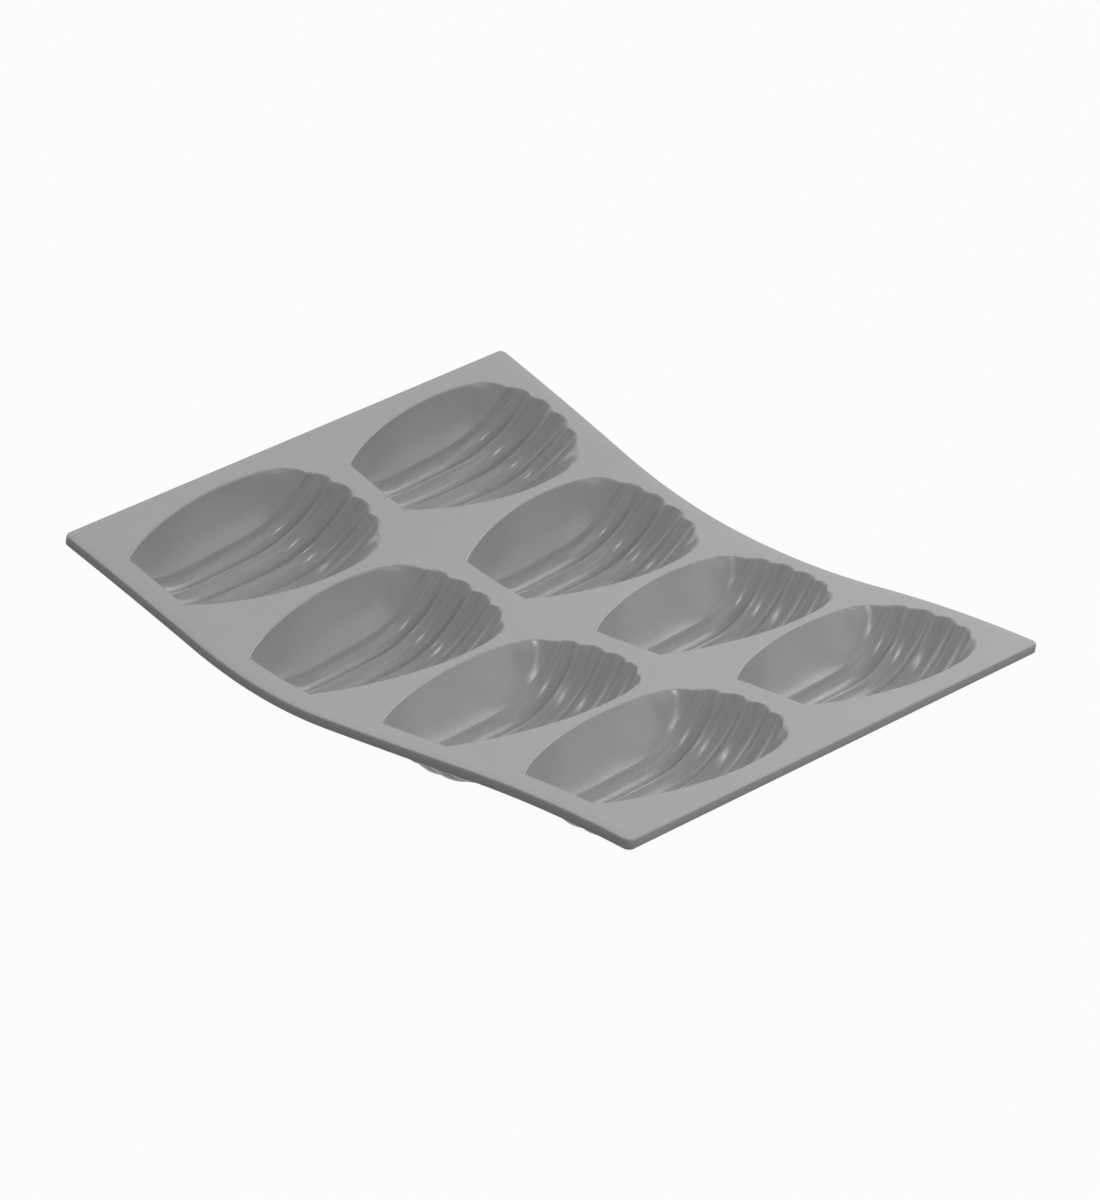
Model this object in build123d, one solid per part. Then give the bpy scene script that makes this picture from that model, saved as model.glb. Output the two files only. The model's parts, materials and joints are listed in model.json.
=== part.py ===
from build123d import *
import os
from math import cos, hypot, radians, sin

# Eight-cup madeleine mould: one flexible moulding with a flat deck and eight shell-shaped cups.
# The deck is bent as it lies, so its two long edges follow different smooth curves.
# X runs along the long side, Y from the front edge to the back edge, Z up.

# Cup cavity: its length runs along Y, from the narrow end to the scalloped end
cavity_length = 75.3
cavity_half_width = 23.3
outer_ridge_setback = 4.0
inner_ridge_setback = 1.0
ridge_depth_outer = 13.2
ridge_depth_inner = 16.0
ridge_depth_middle = 16.5
rim_overrun = 24.0
lobe_lip = 2.0
flute_fade_length = 8.0
cup_wall = 2.0

# Cup layout: the webs of deck between the cavities and round them
column_names = ("1", "2", "3", "4")
row_names = ("front", "back")
column_web = 3.4
row_web = 9.7
side_margin = 6.7
front_margin = 8.0
back_margin = 7.7

# Deck
deck_thickness = 3.0
deck_corner_radius = 2.0
flex_gap = 0.8

# Slopes of the deck, in degrees, at its left end, the three flex lines and its right end
front_edge_slopes = (-13.0, -15.0, 5.5, 6.5, -2.0)
back_edge_slopes = (-18.0, -20.5, -5.0, 6.5, -1.5)

# Shape of the cavity, as shares of the sizes above
outer_ridge_share = 0.631
inner_ridge_share = 0.3455
narrow_ridge_share = 0.7
deepest_place_share = 0.5312
narrow_end_power = 6
scalloped_end_power = 3.2
flute_rise_share = 0.18
flute_rise_limit_share = 0.4
side_rise_share = 0.1
outer_flute_share = 0.75
wall_draft_share = 0.4
wall_spread_share = 0.6
station_shares = (-0.02, 0.02, 0.06, 0.12, 0.22, 0.38, 0.56, 0.7, 0.81, 0.885, 0.94, 0.985, 1.043)
half_width_shares = (0.52, 0.53, 0.605, 0.69, 0.8, 0.925, 0.995, 0.99, 0.935, 0.845, 0.755, 0.77, 0.83)

# Sizes that follow: the pitch of the cups, the deck round them, where a cup is deepest, and the flex lines
# in the middle of the column webs
column_count = len(column_names)
column_pitch = 2 * cavity_half_width + column_web
row_pitch = cavity_length + row_web
deck_length = (column_count - 1) * column_pitch + 2 * (cavity_half_width + side_margin)
deck_width = front_margin + row_pitch + cavity_length + back_margin
first_column = side_margin + cavity_half_width
deepest_place = deepest_place_share * cavity_length
flex_lines = [first_column + (line + 0.5) * column_pitch for line in range(column_count - 1)]
curve_nodes = [0, *flex_lines, deck_length]

# Each ridge between two flutes: its place to the side, its depth and where it ends on the rim
outer_spread = outer_ridge_share * cavity_half_width
inner_spread = inner_ridge_share * cavity_half_width
outer_end = cavity_length - outer_ridge_setback
inner_end = cavity_length - inner_ridge_setback
ridges = (
    (-outer_spread, ridge_depth_outer, outer_end),
    (-inner_spread, ridge_depth_inner, inner_end),
    (0, ridge_depth_middle, cavity_length),
    (inner_spread, ridge_depth_inner, inner_end),
    (outer_spread, ridge_depth_outer, outer_end),
)


def arc_step(length, slope_a, slope_b):
    """Run and rise of an arc of this length whose slope turns from slope_a to slope_b."""
    turn = radians(slope_b - slope_a)
    middle = radians(slope_a + slope_b) / 2
    chord = length * sin(turn / 2) / (turn / 2) if turn else length
    return chord * cos(middle), chord * sin(middle)


def slope_at(slopes, run):
    """Slope of a long edge at a length along it."""
    number = 0
    while number < column_count - 1 and run > curve_nodes[number + 1]:
        number += 1
    start, end = curve_nodes[number], curve_nodes[number + 1]
    share = (run - start) / (end - start)
    return slopes[number] + (slopes[number + 1] - slopes[number]) * share


def edge_point(slopes, run):
    """X and Z of a long edge at a length along it, with the middle of the edge at zero."""
    centre = deck_length / 2
    between = [node for node in curve_nodes if min(centre, run) < node < max(centre, run)]
    marks = sorted([centre, run] + between)
    x = z = 0
    for a, b in zip(marks, marks[1:]):
        if b - a > 0:
            dx, dz = arc_step(b - a, slope_at(slopes, a), slope_at(slopes, b))
            x, z = x + dx, z + dz
    return (x, z) if run > centre else (-x, -z)


def deck_point(run, across, depth=0):
    """A point at a length along the deck, a length across it from its front edge, and a depth below its top."""
    share = across / deck_width
    front_x, front_z = edge_point(front_edge_slopes, run)
    back_x, back_z = edge_point(back_edge_slopes, run)
    slope = radians(deck_slope(run, across))
    x = front_x + (back_x - front_x) * share + depth * sin(slope)
    z = front_z + (back_z - front_z) * share - depth * cos(slope)
    return Vector(x, across - deck_width / 2, z)


def deck_slope(run, across):
    """Slope of the deck there, in degrees: its front and back edges blend into each other."""
    share = across / deck_width
    return slope_at(front_edge_slopes, run) * (1 - share) + slope_at(back_edge_slopes, run) * share


def slab(start, end, top_depth, bottom_depth):
    """The deck between two lengths along it and two depths: a ruled solid from front edge to back edge."""
    faces = []
    middle = (start + end) / 2
    for across in (0, deck_width):
        top = [deck_point(run, across, top_depth) for run in (start, middle, end)]
        bottom = [deck_point(run, across, bottom_depth) for run in (start, middle, end)]
        left_side = Line(bottom[0], top[0])
        right_side = Line(top[2], bottom[2])
        faces.append(make_face([ThreePointArc(*top), right_side, ThreePointArc(*bottom), left_side]))
    return loft(faces, ruled=True)


def ridge_depth(depth, end, along):
    """Depth of a ridge line at a length along the cavity. It is negative past the rim."""
    if along < deepest_place:
        return depth * (1 - (1 - along / deepest_place) ** narrow_end_power)
    return depth * (1 - ((along - deepest_place) / (end - deepest_place)) ** scalloped_end_power)


def ridge_steepness(depth, end, along):
    """Length of a ridge line for each length along the cavity."""
    step = lobe_lip / 2
    rise = ridge_depth(depth, end, along + step) - ridge_depth(depth, end, along - step)
    return hypot(rise, lobe_lip) / lobe_lip


def cavity_solid(column, row, wall=0):
    """The space of a cup, or with a wall its outside: cross-sections of six lobes, lofted along the cavity.

    Each cross-section stands on the bent deck and hangs straight down from the deck at the cup's middle.
    """
    run = first_column + column * column_pitch
    first_across = front_margin + row * row_pitch
    spread = wall * wall_spread_share
    flute_share = flute_rise_share * (outer_flute_share if wall else 1)
    sections = []
    for station_share, width_share in zip(station_shares, half_width_shares):
        along = station_share * cavity_length
        across = first_across + along + spread * (2 * station_share - 1)
        slope = radians(deck_slope(run, across))

        def place(side, depth):
            return deck_point(run + side, across) + Vector(sin(slope), 0, -cos(slope)) * depth

        fan = narrow_ridge_share + (1 - narrow_ridge_share) * along / outer_end
        fade = min(max(along / flute_fade_length, 0), 1)
        depths = [ridge_depth(depth, end, along) + wall for side, depth, end in ridges]
        steepness = [ridge_steepness(depth, end, along) for side, depth, end in ridges]
        rim_side = width_share * cavity_half_width + spread
        rim_depth = min(wall, depths[0] - lobe_lip)
        sides = [-rim_side, *[side * fan for side, depth, end in ridges], rim_side]
        depths = [rim_depth, *depths, rim_depth]
        edges = []
        last = len(ridges)
        for number in range(last + 1):
            width, rise = sides[number + 1] - sides[number], depths[number + 1] - depths[number]
            middle_side, middle_depth = sides[number] + width / 2, depths[number] + rise / 2
            if number in (0, last):
                middle_side -= side_rise_share * rise
                middle_depth += side_rise_share * width
            else:
                mean = (steepness[number - 1] + steepness[number]) / 2
                middle_depth += min(flute_share * mean, flute_rise_limit_share) * fade * width
            ends = [place(sides[number], depths[number]), place(sides[number + 1], depths[number + 1])]
            if fade > 0 or number in (0, last):
                edges.append(ThreePointArc(ends[0], place(middle_side, middle_depth), ends[1]))
            else:
                edges.append(Line(*ends))
        lean = rim_side + (rim_overrun + rim_depth) * wall_draft_share
        corners = [place(rim_side, rim_depth), place(lean, -rim_overrun)]
        corners += [place(-lean, -rim_overrun), place(-rim_side, rim_depth)]
        edges += [Line(start, end) for start, end in zip(corners, corners[1:])]
        sections.append(make_face(edges))
    return loft(sections)


def corner_edge(solid, run, across):
    """The short upright edge of a deck strip at one corner of the deck."""
    target = deck_point(run, across, deck_thickness / 2)
    return solid.edges().sort_by_distance(target)[0]


parts = {}
for column, column_name in enumerate(column_names):
    first, last = column == 0, column == column_count - 1
    start = curve_nodes[column] + (0 if first else flex_gap / 2)
    end = curve_nodes[column + 1] - (0 if last else flex_gap / 2)
    strip = slab(start, end, 0, deck_thickness)
    if first or last:
        corners = [corner_edge(strip, start if first else end, across) for across in (0, deck_width)]
        strip = fillet(corners, deck_corner_radius)
    below = slab(start, end, deck_thickness, deck_thickness + ridge_depth_middle + cup_wall)
    for row, row_name in enumerate(row_names):
        hollow = cavity_solid(column, row)
        strip = strip - hollow
        cup = (cavity_solid(column, row, cup_wall) - hollow) & below
        parts[f"cup_{row_name}_{column_name}"] = cup
    parts[f"deck_column_{column_name}"] = strip

boxes = [shape.bounding_box() for shape in parts.values()]
low = [min(tuple(box.min)[axis] for box in boxes) for axis in range(3)]
high = [max(tuple(box.max)[axis] for box in boxes) for axis in range(3)]
shift = Location((-(low[0] + high[0]) / 2, -(low[1] + high[1]) / 2, -low[2]))
os.makedirs("parts", exist_ok=True)
for name, shape in parts.items():
    export_step(shape.moved(shift), f"parts/{name}.step")

print("size of the whole mould", [round(b - a, 2) for a, b in zip(low, high)])
print("shift from the deck's middle", shift.position)
for line in flex_lines:
    front = deck_point(line, 0, deck_thickness / 2) + shift.position
    back = deck_point(line, deck_width, deck_thickness / 2) + shift.position
    print("flex line", front, back)
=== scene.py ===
# %% [markdown]
# # A flexible madeleine mould
# The object is one grey silicone moulding: a thin deck with two rows of shell-shaped cups, bent as it
# lies. This notebook builds its looks round a fixed frame of solids, which already have the right size
# and place. Every length is in metres. X runs along the long side, Y from the front edge to the back
# edge, Z up.

# %% Frame and measures
import json
import math

import bmesh
import bpy
import numpy as np
from mathutils import Matrix, Vector
from mathutils.geometry import delaunay_2d_cdt


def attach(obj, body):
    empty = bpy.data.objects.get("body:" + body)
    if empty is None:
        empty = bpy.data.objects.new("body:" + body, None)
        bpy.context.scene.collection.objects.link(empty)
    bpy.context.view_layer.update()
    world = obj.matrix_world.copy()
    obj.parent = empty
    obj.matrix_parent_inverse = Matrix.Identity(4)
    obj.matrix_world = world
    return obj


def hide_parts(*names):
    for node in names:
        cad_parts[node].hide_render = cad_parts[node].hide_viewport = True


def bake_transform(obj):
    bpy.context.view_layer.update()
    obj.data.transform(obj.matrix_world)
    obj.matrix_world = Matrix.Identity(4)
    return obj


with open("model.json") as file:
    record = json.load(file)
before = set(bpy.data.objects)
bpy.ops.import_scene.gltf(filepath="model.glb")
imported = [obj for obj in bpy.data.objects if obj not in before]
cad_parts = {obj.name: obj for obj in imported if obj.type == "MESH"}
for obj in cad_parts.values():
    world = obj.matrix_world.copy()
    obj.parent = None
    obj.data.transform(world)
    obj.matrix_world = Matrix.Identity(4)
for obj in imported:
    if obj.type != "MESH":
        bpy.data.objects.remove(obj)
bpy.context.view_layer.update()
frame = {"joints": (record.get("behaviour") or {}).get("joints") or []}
joints = {joint["name"]: joint for joint in frame["joints"]}
mm = 0.001

# %% [markdown]
# ## The camera
# A product photograph is taken from far away with a long lens, so that the two long edges stay almost
# parallel. The camera stands at the photograph's place. Its right and its up are given as two directions,
# which hold a slight roll. Its lens follows from the focal length in pixels and from the picture's longer
# side.

# %% Camera
picture_height_px = 1200
focal_length_px = 3245
camera_place = (527.1 * mm, -622.6 * mm, 413.5 * mm)
camera_right = Vector((0.74387, 0.6659, 0.05696))
camera_up = Vector((-0.32485, 0.28577, 0.90156))

camera_data = bpy.data.cameras.new("camera")
camera_data.lens = focal_length_px * camera_data.sensor_width / picture_height_px
camera = bpy.data.objects.new("camera", camera_data)
bpy.context.scene.collection.objects.link(camera)
turn = Matrix((camera_right, camera_up, camera_right.cross(camera_up))).transposed()
camera.matrix_world = Matrix.Translation(camera_place) @ turn.to_4x4()
bpy.context.scene.camera = camera
print("lens", round(camera_data.lens, 2), "mm")

# %% [markdown]
# ## The bend of the deck
# The moulding was flat when it was made, and it is soft, so it lies in a curve. It is easiest to draw
# each part flat and then to lay it on the curve. A flat place is a length along the deck (run), a length
# across it and a depth below its top. Each long edge has a slope at its two ends and at the webs between
# the cups, and the slope changes evenly in between, so adding up small steps gives the edge. The deck is
# then a ruled surface between its two long edges.

# %% Bend
columns, rows = 4, 2
deck_thickness = 3 * mm
cavity_length, cavity_half_width = 75.3 * mm, 23.3 * mm
column_web, row_web = 3.4 * mm, 9.7 * mm
side_margin, front_margin, back_margin = 6.7 * mm, 8 * mm, 7.7 * mm
column_pitch = 2 * cavity_half_width + column_web
row_pitch = cavity_length + row_web
deck_length = (columns - 1) * column_pitch + 2 * (cavity_half_width + side_margin)
deck_width = front_margin + row_pitch + cavity_length + back_margin
first_column = side_margin + cavity_half_width
flex_runs = [first_column + (line + 0.5) * column_pitch for line in range(columns - 1)]
slope_runs = [0, *flex_runs, deck_length]
edge_slopes = {"front": (-13, -15, 5.5, 6.5, -2), "back": (-18, -20.5, -5, 6.5, -1.5)}
small_steps = 2000


def edge_curve(slopes):
    """Runs along a long edge, with its X and Z there measured from the middle of the edge."""
    runs = np.linspace(0, deck_length, small_steps + 1)
    slope = np.radians(np.interp((runs[1:] + runs[:-1]) / 2, slope_runs, slopes))
    step = deck_length / small_steps
    x = np.concatenate([[0], np.cumsum(np.cos(slope)) * step])
    z = np.concatenate([[0], np.cumsum(np.sin(slope)) * step])
    middle = small_steps // 2
    return runs, x - x[middle], z - z[middle]


edge_curves = {name: edge_curve(slopes) for name, slopes in edge_slopes.items()}


def deck_slope(run, across):
    """Slope of the deck, in radians, where the front and the back edge blend into each other."""
    front, back = (np.interp(run, slope_runs, edge_slopes[name]) for name in ("front", "back"))
    return np.radians(front + (back - front) * across / deck_width)


def on_deck(run, across, depth):
    """Points of the bent deck from flat places, before they are moved to the frame."""
    share = across / deck_width
    runs, front_x, front_z = edge_curves["front"]
    back_x, back_z = edge_curves["back"][1:]
    x = np.interp(run, runs, front_x) * (1 - share) + np.interp(run, runs, back_x) * share
    z = np.interp(run, runs, front_z) * (1 - share) + np.interp(run, runs, back_z) * share
    slope = deck_slope(run, across)
    return np.stack([x + depth * np.sin(slope), across - deck_width / 2, z - depth * np.cos(slope)], -1)


middle_joint = np.array(joints["flex_2"]["pos_m"])
deck_middle = on_deck(np.float64(deck_length / 2), np.float64(deck_width / 2), deck_thickness / 2)
frame_shift = middle_joint - deck_middle


def bend(run, across, depth):
    """Points in the frame from flat places."""
    return on_deck(np.asarray(run), np.asarray(across), np.asarray(depth)) + frame_shift


print("deck", round(deck_length / mm, 1), "x", round(deck_width / mm, 1), "mm, shift", frame_shift / mm)

# %% [markdown]
# ## Writing node trees as Python
# Both geometry and shader trees are long when they are written node by node. A small class wraps a
# socket, so that an expression such as 1 - depth / wall adds its own Math nodes. Every other node comes
# from one method, which takes the node's type, its settings and the values or links of its sockets.

# %% Node expressions
class Value:
    """A socket in a node tree that can stand in a Python expression."""

    def __init__(self, nodes, socket):
        self.nodes, self.socket = nodes, socket

    def output(self, name):
        return Value(self.nodes, self.socket.node.outputs[name])

    def __add__(self, other):
        return self.nodes.math("ADD", self, other)

    def __radd__(self, other):
        return self.nodes.math("ADD", other, self)

    def __sub__(self, other):
        return self.nodes.math("SUBTRACT", self, other)

    def __rsub__(self, other):
        return self.nodes.math("SUBTRACT", other, self)

    def __mul__(self, other):
        return self.nodes.math("MULTIPLY", self, other)

    def __rmul__(self, other):
        return self.nodes.math("MULTIPLY", other, self)

    def __truediv__(self, other):
        return self.nodes.math("DIVIDE", self, other)

    def __rtruediv__(self, other):
        return self.nodes.math("DIVIDE", other, self)

    def __pow__(self, other):
        return self.nodes.math("POWER", self, other)


class Nodes:
    """A node tree under construction."""

    def __init__(self, tree):
        self.tree = tree
        tree.nodes.clear()

    def add(self, kind, settings=(), sockets=(), output=0):
        """A node with its settings, then the values or links of its sockets. Returns one output."""
        node = self.tree.nodes.new(kind)
        for name, setting in dict(settings).items():
            setattr(node, name, setting)
        for key, value in dict(sockets).items():
            if isinstance(value, Value):
                self.tree.links.new(value.socket, node.inputs[key])
            else:
                node.inputs[key].default_value = value
        return Value(self, node.outputs[output]) if node.outputs else node

    def math(self, operation, *values):
        return self.add("ShaderNodeMath", {"operation": operation}, enumerate(values))

    def least(self, first, *others):
        for other in others:
            first = self.math("MINIMUM", first, other)
        return first

    def limit(self, value, low=0, high=1):
        return self.math("MINIMUM", self.math("MAXIMUM", value, low), high)


print("a tree is written as expressions on", Value.__name__)

# %% [markdown]
# ## The shape of a cup
# A madeleine is a shell: ridges fan out from its narrow end, and the flutes between them end in scallops.
# That is a rule, so Geometry Nodes draw the cup. A flat grid is the start. Its rows run along the cup and
# its columns run across the lobes, and each point gets its side, its length along and its depth from a
# formula. The four middle lobes are the flutes, and the two side lobes are wide and nearly smooth. The
# outermost rings of the grid don't follow the shell: they are the rounded lip at the rim, which rolls
# outwards across the cup, and near its two ends along it as well. The rim's half width is a curve through
# a few shares of the cup's length, and past the side lobes' ends the scallops take over. Each point also
# stores its place across and along the lobes as an attribute, which the finish follows. The same formula
# with other depths gives the underside, and merging the two closes the wall.

# %% Sizes of a cup
cup_sizes = {
    "Length": cavity_length,
    "Half width": cavity_half_width,
    "Outer ridge setback": 4.8 * mm,
    "Inner ridge setback": 1 * mm,
    "Rim end setback": 11 * mm,
    "Outer ridge side": 15.2 * mm,
    "Inner ridge side": 8.05 * mm,
    "Narrow ridge share": 0.7,
    "Middle depth": 16.5 * mm,
    "Inner ridge depth": 16 * mm,
    "Outer ridge depth": 13.2 * mm,
    "Deepest place": 40 * mm,
    "Flute depth": 2.2 * mm,
    "Scallop reach": 1.9 * mm,
    "Side lobe reach": 1 * mm,
    "Side fullness": 0.25,
    "Side valley": 0.3 * mm,
    "Side wall": 0.5 * mm,
    "Flute fade": 8 * mm,
    "Ridge rounding share": 0.04,
    "Wall": 1.3 * mm,
    "Rim wall": 0.7 * mm,
    "Deck thickness": deck_thickness,
    "Lip radius": 0.5 * mm,
    "Root radius": 0.25 * mm,
    "Lip strip": 0.1 * mm,
}
rim_shape = [(0, 0.5), (0.02, 0.535), (0.06, 0.602), (0.12, 0.688), (0.22, 0.8), (0.38, 0.925), (0.56, 0.992),
             (0.7, 0.985), (0.78, 0.957), (0.854, 0.9), (1, 0.9)]
narrow_end_power, scalloped_end_power = 5, 3.2
narrow_round, scalloped_round = 11 * mm, 52 * mm
lobes, points_per_lobe, points_along, lip_rings = 6, 12, 96, 5
lip_start_angle = math.radians(25)
even_share, valley_share, outer_flute_share = 0.6, 0.6, 0.75
just_past, merge_distance = 1e-4, 0.001 * mm
inner_seam, outer_face, outer_seam = 1, 4, 6
mark_tolerance = 0.1
print("a cup has", len(cup_sizes), "named sizes")

# %% The cup's tree
def grid_places(n, across_count, along_count):
    """Column and row of each point of the grid, and its ring counted from the border."""
    place = n.add("ShaderNodeSeparateXYZ", sockets={0: n.add("GeometryNodeInputPosition")})
    column = place + (across_count - 1) / 2
    row = place.output("Y") + (along_count - 1) / 2
    ring = n.least(column, across_count - 1 - column, row, along_count - 1 - row, lip_rings)
    return column, row, n.math("ROUND", ring)


def eased(n, share):
    """A share from 0 to 1 whose steps are small at both ends."""
    return 0.5 - 0.5 * n.math("COSINE", share * math.pi)


def shell_lines(n, size, column, row):
    """The lines of the shell at a place in the grid, and that place across and along the lobes."""
    half = lobes / 2
    count = n.limit(column - lip_rings, 0, lobes * points_per_lobe) / points_per_lobe
    hand = n.math("SIGN", count - half)
    distance = n.math("ABSOLUTE", count - half)
    lobe = n.math("FLOOR", n.least(distance + just_past, half - 0.5))
    within = eased(n, n.limit(distance - lobe))
    steps = [n.limit(lobe + within - number) for number in range(3)]

    def between(values):
        total = values[0]
        for step, low, high in zip(steps, values, values[1:]):
            total = total + (high - low) * step
        return total

    in_side = n.math("GREATER_THAN", lobe, half - 1.5)
    from_ridge = 0.5 - n.math("ABSOLUTE", within - 0.5)
    rounding = size["Ridge rounding share"]
    rounded = n.math("SQRT", from_ridge * from_ridge + rounding * rounding) - rounding
    most = n.math("SQRT", 0.25 + rounding * rounding) - rounding
    hollow = 4 * (0.5 * rounded / most) * (1 - 0.5 * rounded / most)

    length = size["Length"]
    ends = [length, length - size["Inner ridge setback"], length - size["Outer ridge setback"],
            length - size["Rim end setback"]]
    reach_out = size["Scallop reach"] + (size["Side lobe reach"] - size["Scallop reach"]) * in_side
    end = between(ends) + reach_out * hollow
    share = n.limit(row - lip_rings, 0, points_along) / points_along
    along = end * (even_share * share + (1 - even_share) * eased(n, share))

    deepest = size["Deepest place"]
    rise = n.limit(1 - along / deepest) ** narrow_end_power
    fall = n.limit((along - deepest) / (end - deepest)) ** scalloped_end_power
    profile = 1 - rise - fall

    rim = n.add("ShaderNodeFloatCurve", sockets={"Value": n.least(along, ends[3]) / length})
    curve = rim.socket.node.mapping.curves[0]
    curve.points[0].location, curve.points[1].location = rim_shape[0], rim_shape[-1]
    for point in rim_shape[1:-1]:
        curve.points.new(*point)
    rim.socket.node.mapping.update()
    half_width = rim * size["Half width"]
    fan = size["Narrow ridge share"] + (1 - size["Narrow ridge share"]) * along / ends[2]
    ridge = size["Outer ridge side"] * fan
    side = between([0, size["Inner ridge side"] * fan, ridge, half_width])
    depth = between([size["Middle depth"], size["Inner ridge depth"], size["Outer ridge depth"], 0])
    skin_share = steps[2]
    quarter = skin_share * (math.pi / 2)
    side = side + size["Side fullness"] * (half_width - ridge) * (n.math("SINE", quarter) - skin_share)
    fuller = n.math("COSINE", quarter) - 1 + skin_share
    depth = depth + size["Side fullness"] * size["Outer ridge depth"] * fuller
    fade = n.limit(along / size["Flute fade"])
    flute = hollow * (1 - in_side) * fade * size["Flute depth"]
    dip = n.limit(skin_share / valley_share)
    depth = depth + 4 * dip * (1 - dip) * fade * size["Side valley"]
    flow = n.add("ShaderNodeCombineXYZ", sockets={0: count, 1: along, 2: 0})
    return (hand * side, along, depth, flute, profile, half_width, skin_share), flow


def cup_surface(n, size, lines, ring, inner):
    """Set positions of one face of the cup: the shell, and the rounded rings at its rim."""
    side, along, depth, flute, profile, half_width, skin_share = lines
    top = 0 if inner else size["Deck thickness"]
    radius = size["Lip radius"] if inner else size["Root radius"]
    rim_depth = top + radius * (1 - math.sin(lip_start_angle))
    wall = 0 if inner else size["Wall"] * (1 - skin_share)
    bottom = depth + wall + flute * (1 if inner else outer_flute_share) - rim_depth * (1 - skin_share)
    shell_depth = rim_depth + bottom * profile

    out_x = side / half_width
    out_y = n.limit((along - scalloped_round) / (size["Length"] - scalloped_round), 0, 2)
    out_y = out_y - n.limit((narrow_round - along) / narrow_round)
    lip_turn = math.pi / 2 - lip_start_angle
    turned = math.pi / 2 - (n.math("MAXIMUM", ring, 2) - 2) * lip_turn / (lip_rings - 2)
    past = n.math("LESS_THAN", ring, 1.5)
    joint = n.math("LESS_THAN", ring, 0.5)
    side_wall = 4 * skin_share * (1 - skin_share) * profile * size["Side wall"]
    spread = 0 if inner else size["Rim wall"] + side_wall
    push = spread + radius * (math.cos(lip_start_angle) - n.math("COSINE", turned))
    push = push + past * size["Lip strip"]
    lip_end = size["Lip radius"] * math.cos(lip_start_angle)
    root_end = size["Rim wall"] + size["Root radius"] * math.cos(lip_start_angle)
    joint_push = (lip_end + root_end) / 2 + size["Lip strip"]
    push = push * (1 - joint) + joint * joint_push
    lip_depth = top + radius * (1 - n.math("SINE", turned))
    lip_depth = lip_depth * (1 - joint) + joint * size["Deck thickness"] / 2
    in_lip = n.math("LESS_THAN", ring, lip_rings - 0.5)
    final_depth = shell_depth * (1 - in_lip) + lip_depth * in_lip
    return n.add("ShaderNodeCombineXYZ", sockets={
        0: side + out_x * push, 1: along + out_y * push, 2: 0 - final_depth})


def cup_tree():
    tree = bpy.data.node_groups.new("madeleine_cup", "GeometryNodeTree")
    n = Nodes(tree)
    for name, value in cup_sizes.items():
        tree.interface.new_socket(name, in_out="INPUT", socket_type="NodeSocketFloat").default_value = value
    tree.interface.new_socket("Material", in_out="INPUT", socket_type="NodeSocketMaterial")
    tree.interface.new_socket("Geometry", in_out="OUTPUT", socket_type="NodeSocketGeometry")
    inputs = n.add("NodeGroupInput")
    size = {name: inputs.output(name) for name in cup_sizes}
    across_count = lobes * points_per_lobe + 1 + 2 * lip_rings
    along_count = points_along + 1 + 2 * lip_rings
    faces = []
    for inner in (True, False):
        grid = n.add("GeometryNodeMeshGrid", sockets={
            "Size X": across_count - 1, "Size Y": along_count - 1,
            "Vertices X": across_count, "Vertices Y": along_count})
        column, row, ring = grid_places(n, across_count, along_count)
        lines, flow = shell_lines(n, size, column, row)
        places = cup_surface(n, size, lines, ring, inner)
        first_mark = 0 if inner else outer_face
        seam_mark = inner_seam if inner else outer_seam
        seam = n.math("COMPARE", ring, 1, mark_tolerance) * (seam_mark - first_mark) + first_mark
        marked = n.add("GeometryNodeStoreNamedAttribute", {"data_type": "FLOAT", "domain": "POINT"},
                       {"Geometry": grid, "Name": "seam", "Value": seam})
        marked = n.add("GeometryNodeStoreNamedAttribute", {"data_type": "FLOAT_VECTOR", "domain": "POINT"},
                       {"Geometry": marked, "Name": "flow", "Value": flow})
        face = n.add("GeometryNodeSetPosition", sockets={"Geometry": marked, "Position": places})
        faces.append(face if inner else n.add("GeometryNodeFlipFaces", sockets={"Mesh": face}))
    joined = n.add("GeometryNodeJoinGeometry")
    for face in faces:
        tree.links.new(face.socket, joined.socket.node.inputs[0])
    closed = n.add("GeometryNodeMergeByDistance", sockets={
        "Geometry": joined, "Distance": merge_distance})
    smooth = n.add("GeometryNodeSetShadeSmooth", sockets={"Geometry": closed})
    real = n.add("GeometryNodeRealizeInstances", sockets={"Geometry": smooth})
    dressed = n.add("GeometryNodeSetMaterial", sockets={
        "Geometry": real, "Material": inputs.output("Material")})
    n.add("NodeGroupOutput", sockets={"Geometry": dressed})
    return tree


tree = cup_tree()
print("the cup's tree has", len(tree.nodes), "nodes")

# %% [markdown]
# ## One flat cup, laid eight times
# The tree is evaluated once and gives a flat, closed cup. Each real cup is a copy of it, laid on its own
# stretch of the bent deck: its rim follows the deck, and the shell hangs straight down from the deck at
# the cup's middle.

# %% Cups
def plain_mesh(tree, name, values):
    """The mesh that a tree makes, with the modifier that made it removed."""
    maker = bpy.data.objects.new(name, bpy.data.meshes.new(name))
    bpy.context.scene.collection.objects.link(maker)
    modifier = maker.modifiers.new("shape", "NODES")
    modifier.node_group = tree
    for item in tree.interface.items_tree:
        if item.in_out == "INPUT" and item.name in values:
            modifier[item.identifier] = values[item.name]
    graph = bpy.context.evaluated_depsgraph_get()
    mesh = bpy.data.meshes.new_from_object(maker.evaluated_get(graph))
    bpy.data.objects.remove(maker)
    return mesh


def material(name):
    made = bpy.data.materials.get(name) or bpy.data.materials.new(name)
    made.use_nodes = True
    return made


def coordinates(mesh):
    places = np.zeros(len(mesh.vertices) * 3)
    mesh.vertices.foreach_get("co", places)
    return places.reshape(-1, 3)


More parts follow.
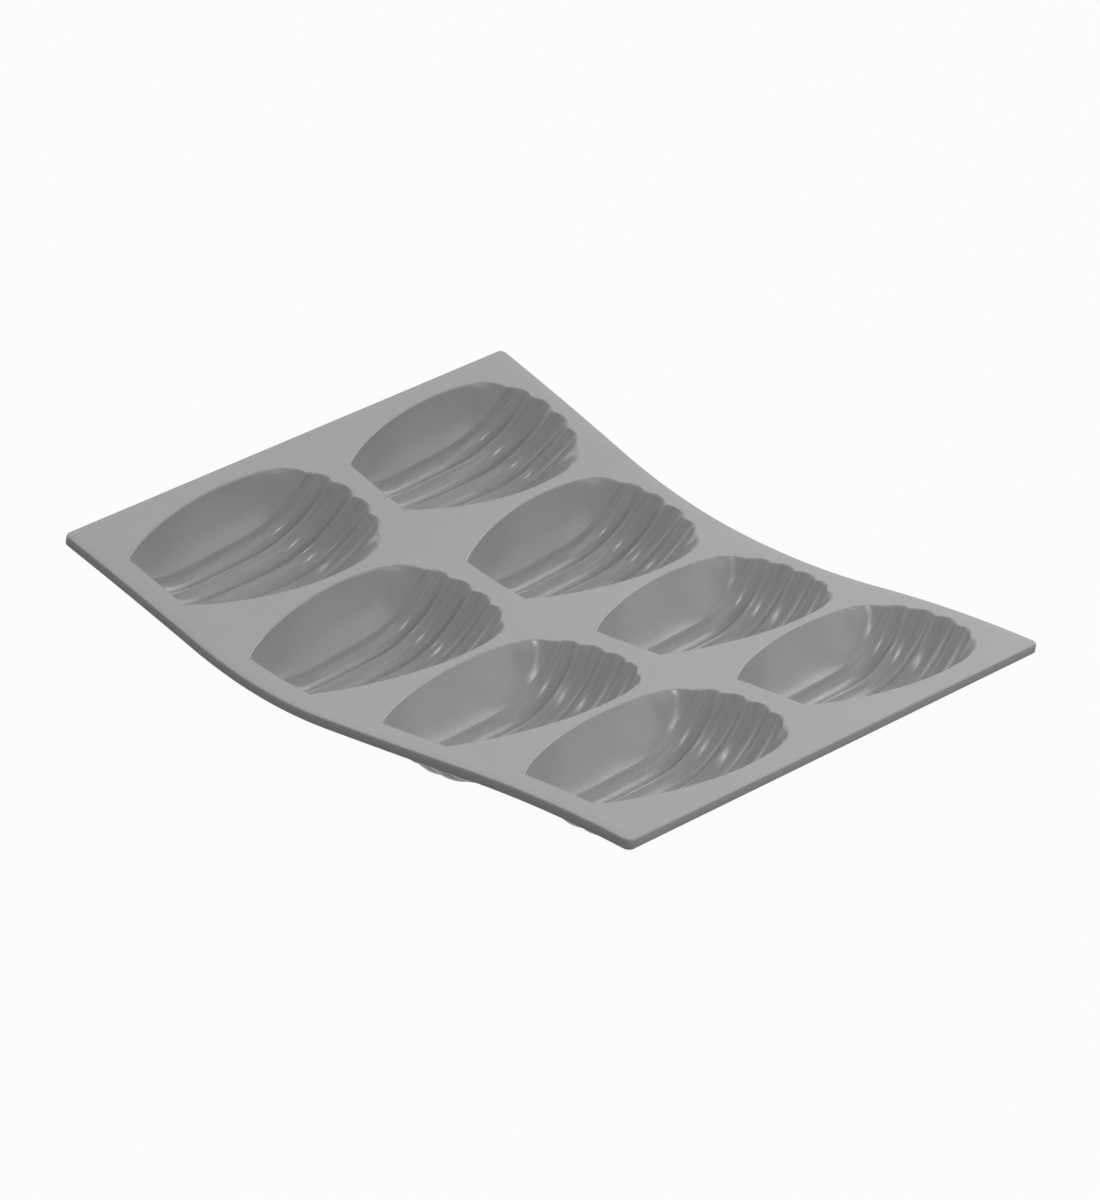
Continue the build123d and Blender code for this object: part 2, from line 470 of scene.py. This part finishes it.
def loop_order(mesh, chosen):
    """The chosen vertices in the order in which their edges join them."""
    chosen = set(chosen)
    neighbours = {vertex: [] for vertex in chosen}
    for a, b in (edge.vertices for edge in mesh.edges):
        if a in chosen and b in chosen:
            neighbours[a].append(b)
            neighbours[b].append(a)
    order = [min(chosen)]
    before = None
    while len(order) < len(chosen):
        onward = [vertex for vertex in neighbours[order[-1]] if vertex != before]
        before = order[-1]
        order.append(onward[0])
    return order


def anticlockwise(loop):
    x, y = loop[:, 0], loop[:, 1]
    area = np.sum(x * np.roll(y, -1) - y * np.roll(x, -1)) / 2
    return loop if area > 0 else loop[::-1]


flat_cup = plain_mesh(tree, "flat_cup", {**cup_sizes, "Material": material("cup_silicone")})
flat_places = coordinates(flat_cup)
marks = np.zeros(len(flat_cup.vertices))
flat_cup.attributes["seam"].data.foreach_get("value", marks)


def seam_loop(mark):
    """The line where one face of the cup meets the deck, as places in order, anticlockwise."""
    chosen = np.flatnonzero(np.abs(marks - mark) < mark_tolerance)
    return anticlockwise(flat_places[loop_order(flat_cup, chosen)])


rim_loop, root_loop = seam_loop(inner_seam), seam_loop(outer_seam)
underside = marks > outer_face - mark_tolerance
flat_cup.attributes.remove(flat_cup.attributes["seam"])
flat_bm = bmesh.new()
flat_bm.from_mesh(flat_cup)
print("cup: vertices", len(flat_places), "open edges", sum(not edge.is_manifold for edge in flat_bm.edges),
      "rim", len(rim_loop), "root", len(root_loop))
flat_bm.free()


def cup_run(column):
    return first_column + column * column_pitch


def cup_across(row):
    return front_margin + row * row_pitch


def lay_cup(column, row):
    """A cup on its stretch of the deck."""
    side, along, depth = flat_places[:, 0], flat_places[:, 1], -flat_places[:, 2]
    across = cup_across(row) + along
    held = np.where(underside, np.minimum(depth, deck_thickness), 0)
    slope = deck_slope(cup_run(column), across)
    down = np.stack([np.sin(slope), np.zeros_like(slope), -np.cos(slope)], -1)
    return bend(cup_run(column) + side, across, held) + down * (depth - held)[:, None]


def new_piece(mesh, name, sharp_angle=40):
    """An object at the origin, smooth except where its faces meet at more than the sharp angle."""
    mesh.name = name
    mesh.set_sharp_from_angle(angle=math.radians(sharp_angle))
    piece = bpy.data.objects.new(name, mesh)
    bpy.context.scene.collection.objects.link(piece)
    return piece


row_names = ("front", "back")
for column in range(columns):
    for row in range(rows):
        mesh = flat_cup.copy()
        mesh.vertices.foreach_set("co", lay_cup(column, row).ravel())
        cup = new_piece(mesh, f"{row_names[row]}_cup_{column + 1}")
        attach(cup, f"column_{column + 1}")
        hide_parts(f"cup_{row_names[row]}_{column + 1}")
bpy.data.meshes.remove(flat_cup)
print("cups laid:", columns * rows)

# %% [markdown]
# ## The deck, in strips
# The deck between and round the cups is flat sheet. One strip of it belongs to each column of cups, and a
# narrow web between two strips is where the silicone bends. A strip is a flat outline with two holes that
# are the cups' own rims, so the seam is closed. A Delaunay triangulation fills it, and the same bend lays
# it down.

# %% Deck outline
half_web = 0.6 * mm
corner_radius, edge_radius = 2 * mm, 0.45 * mm
corner_points, edge_points = 8, 4
step_along, step_across, tiny = 2 * mm, 3 * mm, 1e-9


def straight(start, end, outward, step):
    """Points from start towards end, without the end, each with the way that faces out of the deck."""
    start, end = Vector(start), Vector(end)
    count = max(1, round((end - start).length / step))
    return [(*start.lerp(end, number / count), *outward) for number in range(count)]


def corner(centre, first_angle):
    angles = [math.radians(first_angle + 90 * number / corner_points) for number in range(corner_points)]
    return [(centre[0] + corner_radius * math.cos(angle), centre[1] + corner_radius * math.sin(angle),
             math.cos(angle), math.sin(angle)) for angle in angles]


def strip_outline(start, end, left_open, right_open, step=step_along):
    """Outline of a strip, anticlockwise. An open end is rounded off, a closed one meets its neighbour."""
    left, right = (corner_radius if is_open else 0 for is_open in (left_open, right_open))
    back = deck_width
    points = straight((start + left, 0), (end - right, 0), (0, -1), step)
    if right_open:
        points += corner((end - right, right), -90)
    else:
        points.append((end, 0, 0, -1))
    side = straight((end, right), (end, back - right), (1, 0) if right_open else (0, 0), step_across)
    points += side if right_open else side[1:]
    if right_open:
        points += corner((end - right, back - right), 0)
    points += straight((end - right, back), (start + left, back), (0, 1), step)
    if left_open:
        points += corner((start + left, back - left), 90)
    else:
        points.append((start, back, 0, 1))
    side = straight((start, back - left), (start, left), (-1, 0) if left_open else (0, 0), step_across)
    points += side if left_open else side[1:]
    if left_open:
        points += corner((start + left, left), 180)
    return np.array(points)


def encloses(loop, x, y):
    """Whether a point lies inside a loop."""
    a, b = loop, np.roll(loop, -1, axis=0)
    crosses = (a[:, 1] > y) != (b[:, 1] > y)
    at = a[:, 0] + (y - a[:, 1]) * (b[:, 0] - a[:, 0]) / np.where(crosses, b[:, 1] - a[:, 1], 1)
    return np.count_nonzero(crosses & (at > x)) % 2 == 1


def filled(outline, holes, step):
    """Triangles between an outline and its holes, with points inside so that they can bend."""
    loops = [outline, *holes]
    points = [Vector(place) for loop in loops for place in loop]
    faces, first = [], 0
    for loop in loops:
        faces.append(list(range(first, first + len(loop))))
        first += len(loop)
    low, high = outline.min(0), outline.max(0)
    edge = np.concatenate(loops)
    for x in np.arange(low[0] + step, high[0] - step / 2, step):
        for y in np.arange(low[1] + step_across, high[1] - step_across / 2, step_across):
            far = np.hypot(edge[:, 0] - x, edge[:, 1] - y).min() > step / 2
            if far and not any(encloses(hole, x, y) for hole in holes):
                points.append(Vector((x, y)))
    places, _, triangles, _, _, origins = delaunay_2d_cdt(points, [], faces, 1, tiny, True)
    assert len(places) == len(points), "the outline and its holes must not touch"
    kept = [tuple(triangle) for triangle, origin in zip(triangles, origins) if list(origin) == [0]]
    return np.array([tuple(place) for place in places]), kept


print("outline of the first strip:", len(strip_outline(0, slope_runs[1], True, False)), "points")


# %% Deck strips
def deck_piece(name, outline, holes, step=step_along):
    """A closed strip of deck: top, rounded edge, underside and the walls of its holes."""
    angles = np.linspace(0, math.pi / 2, edge_points)
    insets = np.concatenate([1 - np.sin(angles), 1 - np.sin(angles[::-1])]) * edge_radius
    depths = np.concatenate([1 - np.cos(angles), deck_thickness / edge_radius - 1 + np.cos(angles[::-1])])
    depths = depths * edge_radius
    count = len(outline)
    inset_outline = outline[:, :2] - insets[0] * outline[:, 2:]
    top_points, top_faces = filled(inset_outline, [hole[0][:, :2] for hole in holes], step)
    low_points, low_faces = filled(inset_outline, [hole[1][:, :2] for hole in holes], step)
    places = [np.column_stack([top_points, np.zeros(len(top_points))])]
    places += [np.column_stack([low_points, np.full(len(low_points), deck_thickness)])]
    first_low = len(top_points)
    rings = [list(range(count))]
    first = first_low + len(low_points)
    on_edge = np.hypot(outline[:, 2], outline[:, 3]) > 0
    for inset, depth, number in zip(insets[1:-1], depths[1:-1], range(1, len(insets) - 1)):
        flat = outline[:, :2] - inset * outline[:, 2:]
        even = np.where(on_edge, depth, deck_thickness * number / (len(insets) - 1))
        places.append(np.column_stack([flat, even]))
        rings.append(list(range(first, first + count)))
        first += count
    rings.append(list(range(first_low, first_low + count)))
    faces = [tuple(first_low + corner for corner in reversed(face)) for face in low_faces] + list(top_faces)
    for upper, lower in zip(rings, rings[1:]):
        for number in range(count):
            onward = (number + 1) % count
            faces.append((upper[number], lower[number], lower[onward], upper[onward]))
    first_top_hole = count
    for hole in holes:
        length = len(hole[0])
        for number in range(length):
            a, b = first_top_hole + number, first_top_hole + (number + 1) % length
            faces.append((a, b, first_low + b, first_low + a))
        first_top_hole += length
    flat = np.concatenate(places)
    mesh = bpy.data.meshes.new(name)
    mesh.from_pydata(bend(flat[:, 0], flat[:, 1], flat[:, 2]).tolist(), [], faces)
    mesh.materials.append(material("deck_silicone"))
    mesh.polygons.foreach_set("use_smooth", [True] * len(mesh.polygons))
    shell = bmesh.new()
    shell.from_mesh(mesh)
    open_edges = sum(not edge.is_manifold for edge in shell.edges)
    bmesh.ops.recalc_face_normals(shell, faces=shell.faces)
    shell.to_mesh(mesh)
    volume = round(shell.calc_volume() / mm**3)
    print(name, "faces", len(mesh.polygons), "open edges", open_edges, "volume", volume, "cubic mm")
    shell.free()
    return new_piece(mesh, name)


def holes_of(column):
    """The cups' rims on the top and on the underside, as holes, with each pair starting at the same place."""
    holes = []
    for row in range(rows):
        shift = np.array([cup_run(column), cup_across(row), 0])
        holes.append((rim_loop + shift, root_loop + shift))
    return holes


def matched(loop, other):
    """The other loop, started where it runs beside the first one. Both are anticlockwise."""
    apart = [np.sum((np.roll(other, -start, axis=0) - loop) ** 2) for start in range(len(other))]
    return np.roll(other, -int(np.argmin(apart)), axis=0)


root_loop = matched(rim_loop, root_loop)
for column in range(columns):
    start = slope_runs[column] + (half_web if column > 0 else 0)
    end = slope_runs[column + 1] - (half_web if column < columns - 1 else 0)
    outline = strip_outline(start, end, column == 0, column == columns - 1)
    strip = deck_piece(f"deck_strip_{column + 1}", outline, holes_of(column))
    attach(strip, f"column_{column + 1}")
    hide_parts(f"deck_column_{column + 1}")

# %% [markdown]
# ## The webs between the strips
# Between two strips lies a narrow web of the same sheet. At rest it continues the curve of the deck.
# The web is laid once in its rest place and is not attached to either strip.

# %% Webs
step_web, blend_share = 0.2 * mm, 0.99
for number, flex_run in enumerate(flex_runs):
    outline = strip_outline(flex_run - half_web, flex_run + half_web, False, False, step_web)
    web = deck_piece(f"deck_web_{number + 1}", outline, [], step_web)
    joint = joints[f"flex_{number + 1}"]
    axis = Vector(joint["axis"])
    slope = deck_slope(flex_run, deck_width / 2)
    along = Vector((math.cos(slope), 0, math.sin(slope)))
    along = (along - along.dot(axis) * axis).normalized() * half_web * blend_share
    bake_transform(web)

# %% [markdown]
# ## Silicone
# Foamed silicone is matt and even, with a very fine grain that only shows as soft gloss. The deck is
# matt, and the cups are smoother where they shape the batter, with fine lines drawn along the flutes. A
# picture could hold such lines, but noise that is stretched along the stored place in the lobes follows
# every flute and stays sharp. The grain follows Object coordinates, which are in metres, so its scales
# are large. The cups' grey is darker than the deck's, though both are one silicone: that darker grey is
# painted shade for the hollows of the cups.

# %% Materials
cloud_noise = {"Scale": 45, "Detail": 3, "Roughness": 0.55}
cloud_shade, cloud_gloss = 0.08, 0.12
grain_noise = {"Scale": 2600, "Detail": 2, "Roughness": 0.6}
grain_shade, grain_gloss = 0.12, 0.1
line_noise = {"Scale": 1, "Detail": 3, "Roughness": 0.7}
lines_across, lines_along, lines_shade, lines_height = 11, 60, 0.6, 3.5
flute_edge_steepness, grain_under_lines = 20, 0.4
bump_strength, silicone_ior = 0.35, 1.41
deck_grey, deck_roughness, deck_grain_height = (0.352, 0.352, 0.352), 0.62, 0.08 * mm
# The cups' grey is darker than the deck's grey of the same silicone: painted shade for the hollows.
cup_grey_with_painted_shade, cup_roughness, cup_grain_height = (0.295, 0.295, 0.3), 0.25, 0.03 * mm


def drawn_lines(n):
    """Noise drawn out along the middle flutes, from -0.5 to 0.5, and none on the side lobes."""
    flow = n.add("ShaderNodeAttribute", {"attribute_name": "flow"}, output="Vector")
    across = n.add("ShaderNodeSeparateXYZ", sockets={0: flow})
    along = across.output("Y")
    inward = lobes / 2 - 1 - n.math("ABSOLUTE", across - lobes / 2)
    spread = n.add("ShaderNodeCombineXYZ", sockets={0: across * lines_across, 1: along * lines_along, 2: 0})
    lines = n.add("ShaderNodeTexNoise", sockets={"Vector": spread, **line_noise})
    return (lines - 0.5) * n.limit(flute_edge_steepness * inward)


def silicone(name, colour, roughness, grain_height, with_lines=False):
    """A silicone with soft clouds and a fine grain, and on the cups with drawn lines."""
    made = material(name)
    n = Nodes(made.node_tree)
    place = n.add("ShaderNodeTexCoord", output="Object")
    cloud = n.add("ShaderNodeTexNoise", sockets={"Vector": place, **cloud_noise}) - 0.5
    grain = n.add("ShaderNodeTexNoise", sockets={"Vector": place, **grain_noise})
    shade = 1 + cloud * cloud_shade + (grain - 0.5) * grain_shade
    height = grain
    if with_lines:
        drawn = drawn_lines(n)
        shade = shade + drawn * lines_shade
        height = grain * grain_under_lines + drawn * lines_height
    grey = n.add("ShaderNodeCombineColor", sockets={0: shade, 1: shade, 2: shade})
    tone = n.add("ShaderNodeMix", {"data_type": "RGBA", "blend_type": "MULTIPLY"},
                 {"Factor": 1, 6: (*colour, 1), 7: grey}, output=2)
    bump = n.add("ShaderNodeBump", sockets={
        "Strength": bump_strength, "Distance": grain_height, "Height": height})
    gloss = roughness + cloud * cloud_gloss + (grain - 0.5) * grain_gloss
    shader = n.add("ShaderNodeBsdfPrincipled", sockets={
        "Base Color": tone, "Roughness": gloss, "IOR": silicone_ior, "Normal": bump})
    n.add("ShaderNodeOutputMaterial", sockets={"Surface": shader})
    return made


silicone("deck_silicone", deck_grey, deck_roughness, deck_grain_height)
# The cups get the darker grey, which is painted shade for their hollows.
silicone("cup_silicone", cup_grey_with_painted_shade, cup_roughness, cup_grain_height, with_lines=True)
print("materials", [made.name for made in bpy.data.materials])

# %% [markdown]
# ## Floor and light
# The background is white: the floor and the world show white to the camera and to reflections. For other
# light the world is a dim room and the floor is dark, so that the front edge and the undersides stay in
# shade, as they do in the photograph. Three large soft lamps stand behind the mould, on its right and on
# its left. A small key lamp high on the right and a little in front draws the short streaks in the
# flutes, each where the floor of a flute turns up towards its end. Each lamp has a direction from the
# mould, a size in metres and a power in watts.

# %% Floor
floor_reach = 6
floor_colour, floor_white_share = 0.15, 0.97


def seen_directly(n):
    """1 for rays that show the background itself: from the camera, in a reflection or through the surface."""
    path = n.add("ShaderNodeLightPath")
    return n.limit(path + path.output("Is Glossy Ray") + path.output("Is Transmission Ray"))


def floor_material():
    made = material("floor_white")
    n = Nodes(made.node_tree)
    dark = n.add("ShaderNodeBsdfDiffuse", sockets={"Color": (floor_colour, floor_colour, floor_colour, 1)})
    white = n.add("ShaderNodeEmission", sockets={"Color": (1, 1, 1, 1), "Strength": 1})
    mixed = n.add("ShaderNodeMixShader", sockets={0: seen_directly(n) * floor_white_share, 1: dark, 2: white})
    n.add("ShaderNodeOutputMaterial", sockets={"Surface": mixed})
    return made


floor_mesh = bpy.data.meshes.new("floor")
corners = [(x * floor_reach, y * floor_reach, 0) for x, y in ((-1, -1), (1, -1), (1, 1), (-1, 1))]
floor_mesh.from_pydata(corners, [], [(0, 1, 2, 3)])
floor_mesh.materials.append(floor_material())
floor = bpy.data.objects.new("floor", floor_mesh)
bpy.context.scene.collection.objects.link(floor)
print("floor", 2 * floor_reach, "m across")

# %% Lamps and world
lamp_distance = 1.4
soft_lamp_size, key_lamp_size = 0.8, 0.14
lamps = {
    "back": ((0, 1, 0.7), soft_lamp_size, 5.9),
    "right": ((0.86, 0.5, 0.67), soft_lamp_size, 2.9),
    "left": ((-1, 0, 0.7), soft_lamp_size, 4.7),
    "key": ((0.48, -0.126, 0.868), key_lamp_size, 3.4),
}
room_strength = 0.44


def lamp(name, direction, size, power):
    data = bpy.data.lights.new(name, "AREA")
    data.size = size
    data.energy = power
    made = bpy.data.objects.new(name, data)
    bpy.context.scene.collection.objects.link(made)
    way = Vector(direction).normalized()
    facing = way.to_track_quat("Z", "Y").to_matrix().to_4x4()
    made.matrix_world = Matrix.Translation(way * lamp_distance) @ facing
    return made


for name, (direction, size, power) in lamps.items():
    lamp(name, direction, size, power)

world = bpy.data.worlds.new("world")
bpy.context.scene.world = world
world.use_nodes = True
n = Nodes(world.node_tree)
room = n.add("ShaderNodeBackground", sockets={"Color": (1, 1, 1, 1), "Strength": room_strength})
white = n.add("ShaderNodeBackground", sockets={"Color": (1, 1, 1, 1), "Strength": 1})
both = n.add("ShaderNodeMixShader", sockets={0: seen_directly(n), 1: room, 2: white})
n.add("ShaderNodeOutputWorld", sockets={"Surface": both})
bpy.context.scene.view_settings.view_transform = "Standard"
print("lamps", list(lamps))
